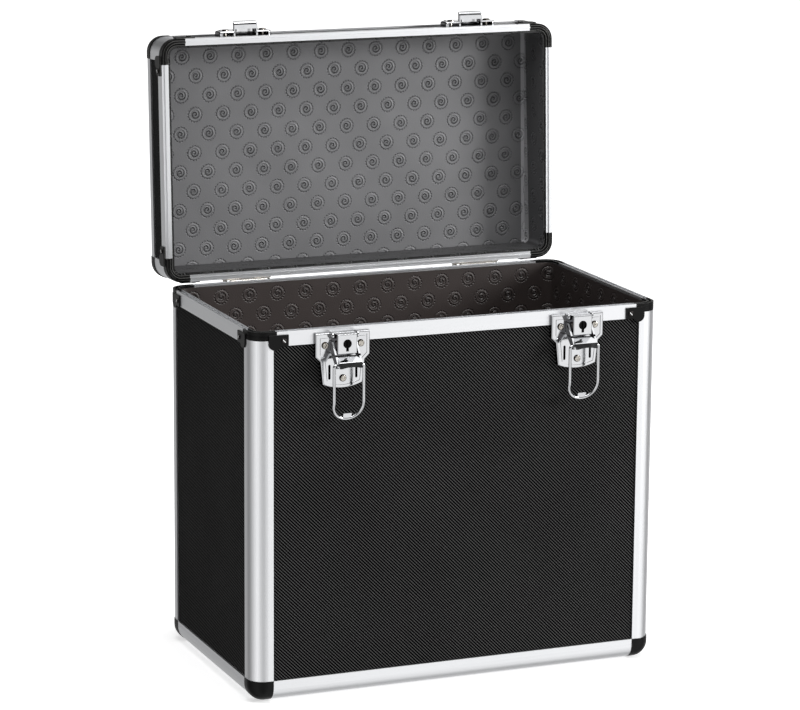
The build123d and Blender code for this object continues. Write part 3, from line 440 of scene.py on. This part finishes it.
ball_plastic = moulded("black moulded ABS", False, False)
body_corner_plastic = moulded("black moulded ABS with ridges", False, True)
lid_corner_plastic = moulded("black moulded ABS with ridges on the lid", True, True)
print("corner plastics:", ball_plastic.name, body_corner_plastic.name, lid_corner_plastic.name, sep="\n  ")

# %% [markdown]
# ## Plated steel
# The bails, the latch pins, and the handle's rod and brackets are steel with chrome plate, so they mirror
# the studio sharply but not perfectly: the steel under the plate is a little wavy, and fingers dull it in
# clouds. The hinges are bright nickel, warmer and softer. The lock cores are painted near-black, a painted
# shade, so a keyhole looks dark.


# %% Plated metals
def plated(name, colour, smooth, dull):
    """Bright plate on slightly wavy steel, dulled in clouds."""
    made, add, shader = new_material(name, colour, 1.0, smooth)
    point = add("TexCoord").outputs["Object"]
    sheet_wave, smudge = 6.0, 9.0                  # mm
    wave = add("TexNoise", {"Vector": point, "Scale": 1 / (sheet_wave * MM), "Detail": 1.0})
    cloud = add("TexNoise", {"Vector": point, "Scale": 1 / (smudge * MM), "Detail": 4.0})
    rough = add("MapRange", cloud, 0.35, 0.7, smooth, dull)
    bump = add("Bump", {"Strength": 0.12, "Distance": 0.0004, "Height": wave})
    feed(shader, {"Roughness": rough, "Normal": bump})
    return made


chrome_look = ("#cbccce", 0.06, 0.2)
chrome = plated("bright chrome plate", *chrome_look)
nickel = plated("bright nickel plate", "#c9c5be", 0.16, 0.32)
# The lock cores' near-black is a painted shade in the keyhole.
keyhole_shade_steel = plated("steel painted dark for keyhole shade", "#161616", 0.35, 0.5)
print("plated:", chrome.name, nickel.name, keyhole_shade_steel.name, sep="\n  ")

# %% [markdown]
# ## Pressed latches and strikes
# The latch plates, levers and strikes are pressed from thin steel sheet and then plated with the same
# chrome. Faces turned to the side are painted dark, a painted shade, and that outline is what makes a latch
# readable. The way a face is turned tells a side from a front. On a lever, a band at the height of the gap
# between the key box and the finger lip is painted near-black, a painted shadow in that gap.


# %% Pressed chrome
def pressed_chrome(name, side_shade_colour, gap_middle=None):
    """Chrome on pressed steel, with painted shade on its side faces and a painted shadow in a lever's gap."""
    made = plated(name, *chrome_look)
    add = partial(add_node, made.node_tree)
    source = add("TexCoord")
    nx = add("SeparateXYZ", source.outputs["Normal"]).outputs[0]
    side_from, side_whole, side_shade_level = 0.6, 0.85, 0.7
    gap_half = 0.75                                # mm
    # Faces turned to the side are painted dark: a painted shade.
    dark = add("MapRange", add("Math ABSOLUTE", nx), side_from, side_whole, 0.0, side_shade_level, **eased)
    # The band at the gap's height is painted near-black: a painted shadow.
    if gap_middle:
        z = add("Math DIVIDE", add("SeparateXYZ", source.outputs["Object"]).outputs[2], MM)
        off_gap = add("Math ABSOLUTE", add("Math SUBTRACT", z, gap_middle))
        dark = add("Math MAXIMUM", dark, add("Math LESS_THAN", off_gap, gap_half))
    colour = add("ValToRGB", dark)
    for stop, tone in zip(colour.color_ramp.elements, (chrome_look[0], "#050505")):
        stop.color = linear(tone)
    colour.color_ramp.elements.new(side_shade_level).color = linear(side_shade_colour)
    feed(made.node_tree.nodes["Principled BSDF"], {"Base Color": colour})
    return made


gap_below_rim = 19.9                               # mm, the middle of the gap under a key box
lever_chrome = pressed_chrome("chrome plate on the drawn levers", "#5b5b5d", body_height - gap_below_rim)
plate_chrome = pressed_chrome("chrome plate on the pressed plates", "#747476")
print("pressed:", lever_chrome.name, plate_chrome.name, sep="\n  ")

# %% [markdown]
# ## Screws of the rim corners
# The flaps of the rim corners are held by small screws with black zinc plate. Each slot shows a short
# bright line, a painted glint. All sit at the same distance from their corner and from the rim, so two
# sizes find the middle of every head, and a slanted line through it is the slot.


# %% Screws
def slotted_screws(name, on_lid):
    """Black zinc plate, with a painted glint in the slots, which all stop at the same slant."""
    zinc, slot_glint = "#2e2c2b", "#e6e6e6"
    made, add, shader = new_material(name, zinc, 1.0, 0.2)
    from_corner, below_rim, slot_half, slot_reach = 26.3, 7.4, 0.5, 1.1      # mm
    level = body_height + lid_gap + below_rim if on_lid else body_height - below_rim
    point, normal = tray(add, on_lid)
    across, rise = on_face(add, point, normal)
    nx = add("SeparateXYZ", normal).outputs[0]
    on_side = add("Math GREATER_THAN", add("Math ABSOLUTE", nx), faces_it)
    half = add("Mix", {"Factor": on_side, "A": half_width, "B": half_depth})
    offset = add("Math SUBTRACT", add("Math ABSOLUTE", across), add("Math SUBTRACT", half, from_corner))
    offset = add("Math MULTIPLY", offset, add("Math SIGN", across))
    off_slot = add("Math ABSOLUTE", add("Math ADD", offset, add("Math SUBTRACT", rise, level)))
    slot = add("Math MULTIPLY", add("Math LESS_THAN", off_slot, slot_half),
               add("Math LESS_THAN", add("Math ABSOLUTE", offset), slot_reach))
    # The slot is painted bright: a painted glint.
    colour = add("ValToRGB", slot)
    for stop, tone in zip(colour.color_ramp.elements, (zinc, slot_glint)):
        stop.color = linear(tone)
    bump = add("Bump", {"Strength": 0.5, "Distance": 0.0002, "Height": slot}, invert=True)
    feed(shader, {"Base Color": colour, "Normal": bump})
    return made


body_screws = slotted_screws("black zinc plated screws", False)
lid_screws = slotted_screws("black zinc plated screws on the lid", True)
print("screws:", body_screws.name, lid_screws.name, sep="\n  ")

# %% [markdown]
# ## Rivets
# The rivets are nickel plated and set with a hammer, so a head is a little dented. Its crown keeps the
# nickel's colour, and faces turned away from the front or the back are painted brown and dark, a painted
# shade round its foot. On the body and on the handle's brackets that tells crown from foot. The rivets of
# the strikes and of the lid's hinge leaves face up or down where the lid stands open, so they are painted
# dark all over.


# %% Rivets
def rivet_with_painted_shade():
    """Nickel on the crown of a head, with a painted brown shade round its foot."""
    made, add, shader = new_material("nickel rivets with painted shade", "#b5aa9e", 1.0, 0.18)
    dent = 2.2                                     # mm
    source = add("TexCoord")
    ny = add("SeparateXYZ", source.outputs["Normal"]).outputs[1]
    crown = add("MapRange", {"Value": add("Math ABSOLUTE", ny), "From Min": 0.8, "From Max": 0.97}, **eased)
    # Faces turned away from the front and back are painted dark brown: a painted shade.
    colour = add("ValToRGB", crown)
    for stop, tone in zip(colour.color_ramp.elements, ("#231e1a", "#b9b4ac")):
        stop.color = linear(tone)
    dents = add("TexNoise", {"Vector": source.outputs["Object"], "Scale": 1 / (dent * MM), "Detail": 1.0})
    bump = add("Bump", {"Strength": 1.0, "Distance": 0.0008, "Height": dents})
    feed(shader, {"Base Color": colour, "Normal": bump})
    return made


rivet_nickel = rivet_with_painted_shade()
print("rivets:", rivet_nickel.name)

# %% [markdown]
# ## Foam lining
# Both trays are lined with a thin sheet of closed-cell EVA foam, embossed while hot with rows of small
# spirals inside a dotted, scalloped ring. There are hundreds of them, so the material draws them and the
# mesh stays plain. Each spiral comes from its own polar coordinates: the distance and the angle from the
# middle of a cell, in rows that are shifted by half a cell. The hot die presses some lines in, and the foam
# swells up beside them.


# %% Spirals
first_across, first_up = -145.6, -82.7             # mm, the middle of one spiral
cell_width, row_height = 25.0, 16.3                # mm


def spiral_cells(add, across, rise, lean):
    """Where a point lies in its cell, in millimetres from the cell's middle."""
    from_first = add("Math SUBTRACT", rise, first_up)
    row = add("Math ADD", add("Math DIVIDE", from_first, row_height), 0.5)
    shift = add("Math MULTIPLY", add("Math FLOORED_MODULO", add("Math FLOOR", row), 2.0), 0.5)
    straight = add("Math ADD", add("Math SUBTRACT", across, first_across),
                   add("Math MULTIPLY", from_first, lean))
    column = add("Math ADD", add("Math ADD", add("Math DIVIDE", straight, cell_width), shift), 0.5)
    x = add("Math MULTIPLY", add("Math SUBTRACT", add("Math FRACT", column), 0.5), cell_width)
    y = add("Math MULTIPLY", add("Math SUBTRACT", add("Math FRACT", row), 0.5), row_height)
    return x, y


def band(add, value, middle, reach, strength=1.0):
    """Strongest where a value is at the middle, fading to nothing at its reach."""
    off = add("Math ABSOLUTE", add("Math SUBTRACT", value, middle))
    return add("MapRange", off, 0.0, reach, strength, 0.0, **eased)


def spiral(add, x, y):
    """How far the foam is pressed in, and how far it swells up beside that."""
    ring_radius, ring_half, ring_strength = 6.0, 0.8, 0.6                    # mm, mm
    scallops, scallop = 16.0, 0.3                                            # how many, and mm
    dot_share, between_dots = 0.35, 0.65
    spiral_pitch, spiral_reach, spiral_end = 2.6, 3.6, 0.7                   # mm
    groove_at, groove_half, swell_at, swell_half = 0.4, 0.26, 0.8, 0.2       # shares of the pitch
    halo_radius, halo_half, halo_strength = 4.6, 1.2, 0.5                    # mm, mm
    radius = add("Math SQRT", add("Math ADD", add("Math MULTIPLY", x, x), add("Math MULTIPLY", y, y)))
    angle = add("Math ARCTAN2", y, x)
    wave = add("Math SINE", add("Math MULTIPLY", angle, scallops))
    edge = add("Math ADD", add("Math MULTIPLY", wave, scallop), ring_radius)
    dots = add("Math ADD", add("Math MULTIPLY", wave, dot_share), between_dots)
    ring = add("Math MULTIPLY", band(add, radius, edge, ring_half, ring_strength), dots)
    turn = add("Math FRACT", add("Math ADD", add("Math DIVIDE", radius, spiral_pitch),
                                 add("Math DIVIDE", angle, 2 * math.pi)))
    inside = add("MapRange", radius, spiral_reach, spiral_reach + spiral_end, 1.0, 0.0, **eased)
    groove = add("Math MULTIPLY", band(add, turn, groove_at, groove_half), inside)
    swell = add("Math MULTIPLY", band(add, turn, swell_at, swell_half), inside)
    pressed = add("Math MAXIMUM", ring, groove)
    raised = add("Math MAXIMUM", swell, band(add, radius, halo_radius, halo_half, halo_strength))
    return pressed, raised


print("spirals are", cell_width, "mm apart in rows", row_height, "mm apart")

# %% [markdown]
# ## Walls of the lid
# The lid's walls are painted darker than its panel, a painted shade, more on the end walls than on the
# side walls. The panel's own sheet laps onto the right wall, where its raw edge shows as a pale strip that
# widens from the front to the hinges. A point's normal tells which wall it is on, and its distance from
# the panel tells whether the lap covers it.

# %% Lid walls
lined_board = 8.1                                  # mm, from the outside of the lid's top to its lining
lid_ceiling = body_height + lid_gap + lid_height - lined_board


def lid_walls(add, point, normal, shade):
    """Paint shade on the lid's walls, and draw the pale edge where the panel's sheet laps onto the right one.
    """
    lap_front, lap_back, inner_half_depth, right_wall_from = 2.5, 9.0, 91.2, 165.9     # mm
    wall_from, wall_whole, side_wall_shade, end_wall_shade, lap_gain = 0.4, 0.9, 0.4, 0.75, 1.9
    x, y, z = add("SeparateXYZ", point).outputs
    nx, ny, _ = add("SeparateXYZ", normal).outputs
    lap = add("MapRange", y, -inner_half_depth, inner_half_depth, lap_front, lap_back)
    right_wall = add("Math GREATER_THAN", x, right_wall_from)
    near = add("Math LESS_THAN", add("Math SUBTRACT", lid_ceiling, z), lap)
    # The walls are painted darker: a painted shade, stronger on the end walls.
    side_wall = add("MapRange", add("Math ABSOLUTE", nx), wall_from, wall_whole, 0.0, side_wall_shade, **eased)
    end_wall = add("MapRange", add("Math ABSOLUTE", ny), wall_from, wall_whole, 0.0, end_wall_shade, **eased)
    keep = add("Math SUBTRACT", add("Math SUBTRACT", 1.0, side_wall), end_wall, use_clamp=True)
    pale = add("Math MULTIPLY", add("Math MULTIPLY", right_wall, near), lap_gain)
    return add("VectorMath SCALE", shade, {"Scale": add("Math ADD", keep, pale)})


print("the lid's lining ends", round(lid_ceiling, 1), "mm up when the lid is shut")

# %% [markdown]
# ## The foam itself
# The foam has a fine silky grain and clouds of lighter and darker grey. What is pressed in is painted
# darker, a painted shade in the grooves, and what swells up is painted paler, a painted highlight. The
# sheet's cut edge at the rim is painted black, a painted shadow of the gap there. One height for grain,
# swells and grooves goes into a bump, which is enough for an emboss about a millimetre deep.


# %% Lining
def embossed_foam(name, on_lid, lean, dark, light):
    """EVA foam, embossed hot. Its columns of spirals lean a little where the sheet was cut askew."""
    made, add, shader = new_material(name, light, 0.0, 0.42)
    silk_size, cloud_size, rim_shadow_depth = 0.9, 60, 4                           # mm
    plain_tone, cloud_share, raised_highlight, pressed_shade = 0.45, 0.4, 0.22, 0.36
    silk_height, raised_height = 0.12, 0.3
    point, normal = tray(add, on_lid)
    across, rise = on_face(add, point, normal)
    pressed, raised = spiral(add, *spiral_cells(add, across, rise, lean))
    silk = add("TexNoise", {"Vector": point, "Scale": 1 / silk_size, "Detail": 4.0})
    cloud = add("TexNoise", {"Vector": point, "Scale": 1 / cloud_size, "Detail": 2.0})
    plain = add("Math ADD", add("Math MULTIPLY", cloud, cloud_share), plain_tone)
    # Swells are painted paler, a painted highlight, and pressed lines darker, a painted shade.
    tone = add("Math ADD", plain, add("Math MULTIPLY", raised, raised_highlight))
    tone = add("Math SUBTRACT", tone, add("Math MULTIPLY", pressed, pressed_shade), use_clamp=True)
    shade = add("ValToRGB", tone)
    for stop, colour in zip(shade.color_ramp.elements, (dark, light)):
        stop.color = linear(colour)
    if on_lid:
        shade = lid_walls(add, point, normal, shade)

    z = add("SeparateXYZ", point).outputs[2]
    towards_rim = add("SeparateXYZ", normal).outputs[2]
    if on_lid:
        towards_rim = add("Math MULTIPLY", towards_rim, -1.0)
        at_rim = add("Math LESS_THAN", z, body_height + lid_gap + rim_shadow_depth)
    else:
        at_rim = add("Math GREATER_THAN", z, body_height - rim_shadow_depth)
    # The cut edge at the rim is painted black: a painted shadow of the gap there.
    painted_rim_shadow = add("Math MULTIPLY", add("Math GREATER_THAN", towards_rim, faces_it), at_rim)
    # A colour Mix keeps its two colours in sockets 6 and 7, and gives the result in output 2.
    final = add("Mix", {"Factor": painted_rim_shadow, 6: shade, 7: linear("#080808")}, data_type="RGBA").outputs[2]

    height = add("Math ADD", add("Math MULTIPLY", silk, silk_height),
                 add("Math MULTIPLY", raised, raised_height))
    height = add("Math SUBTRACT", height, pressed)
    bump = add("Bump", {"Strength": 1.0, "Distance": 0.0012, "Height": height})
    feed(shader, {"Base Color": final, "Normal": bump})
    print(name, "nodes:", len(made.node_tree.nodes))
    return made


# The body's foam takes darker and browner colours than the lid's; the darkness is a painted shade of the
# tray's inside.
body_foam = embossed_foam("embossed EVA foam", False, 0.0, "#1a1615", "#4a4240")
lid_foam = embossed_foam("embossed EVA foam on the lid", True, 0.04, "#343435", "#868688")

# %% [markdown]
# ## Handle grip
# The grip is soft PVC moulded over the rod, with a leather-like grain so that it doesn't slip. Voronoi cells
# about 1.2 mm across make the pebbles of that grain.


# %% Grip
def soft_pvc():
    """Black PVC, moulded with a pebbled grain."""
    made, add, shader = new_material("grained soft PVC", "#161616", 0.0, 0.55)
    pebble = 1.2                                   # mm
    point = tray(add, True)[0]
    cells = add("TexVoronoi", {"Vector": point, "Scale": 1 / pebble}, feature="SMOOTH_F1").outputs["Distance"]
    bump = add("Bump", {"Strength": 0.5, "Distance": 0.0002, "Height": cells}, invert=True)
    rough = add("MapRange", {"Value": cells, "To Min": 0.45, "To Max": 0.65})
    feed(shader, {"Normal": bump, "Roughness": rough})
    return made


grip_pvc = soft_pvc()
print("grip:", grip_pvc.name)

# %% [markdown]
# ## Give each node its finish
# The finish follows from what a node is, so its name decides. Profiles take the material whose die lines
# run the way that profile does: upright for posts, across for front and back, front to back for the sides.


# %% Assign
def finish_of(name):
    """The material for a node, by its name."""
    on_lid = name.startswith("lid")
    if name.endswith("panel"):
        return lid_laminate if on_lid else body_laminate
    if name.endswith("lining"):
        return lid_foam if on_lid else body_foam
    if name.endswith("ball_corners"):
        return ball_plastic
    if name.endswith("rim_corners"):
        return lid_corner_plastic if on_lid else body_corner_plastic
    if "post" in name:
        return profiles[on_lid, "Z"]
    if "_rim_" in name or "_edge_" in name:
        return profiles[on_lid, "X" if name.endswith(("front", "back")) else "Y"]
    if name == "handle_grip":
        return grip_pvc
    if name.startswith("lock"):
        return keyhole_shade_steel
    if name.startswith("lever"):
        return lever_chrome
    if name.startswith(("latch_plate", "strike")):
        return plate_chrome
    if name.endswith("corner_screws"):
        return lid_screws if on_lid else body_screws
    if name.endswith("rivets"):
        return rivet_nickel
    if "hinge" in name:
        return nickel
    return chrome


for name, thing in nodes.items():
    thing.data.materials.clear()
    thing.data.materials.append(finish_of(name))
print("finishes given to", len(nodes), "nodes")

# %% [markdown]
# ## Softened edges
# No real edge is perfectly sharp, and a hard metal one shows as a thin bright line. A bevel modifier rounds
# sharp edges a little, and leaves the CAD mesh underneath as it was. Metal and boards get 0.1 to 0.25 mm,
# and moulded plastic and foam get 0.3 to 0.4 mm. The pins, the lock cores and the handle's rod have none.

# %% Bevels
bevel_mm = {"panel": 0.15, "lining": 0.4, "corners": 0.4, "post": 0.2, "_rim_": 0.25, "_edge_": 0.2,
            "latch_plate": 0.2, "strike": 0.2, "lever": 0.25, "bail": 0.1, "bracket": 0.25, "leaf": 0.2,
            "rivets": 0.15, "screws": 0.12, "grip": 0.3}
sharper_than = math.radians(40)
for name, thing in nodes.items():
    width = next((w for part, w in bevel_mm.items() if part in name), None)
    if width is None:
        continue
    bevel = thing.modifiers.new("soft edges", "BEVEL")
    bevel.width = width * MM
    bevel.segments = 2
    bevel.limit_method = "ANGLE"
    bevel.angle_limit = sharper_than
    bevel.use_clamp_overlap = True
    bevel.harden_normals = True
print("bevelled", sum(1 for thing in nodes.values() if thing.modifiers), "nodes")
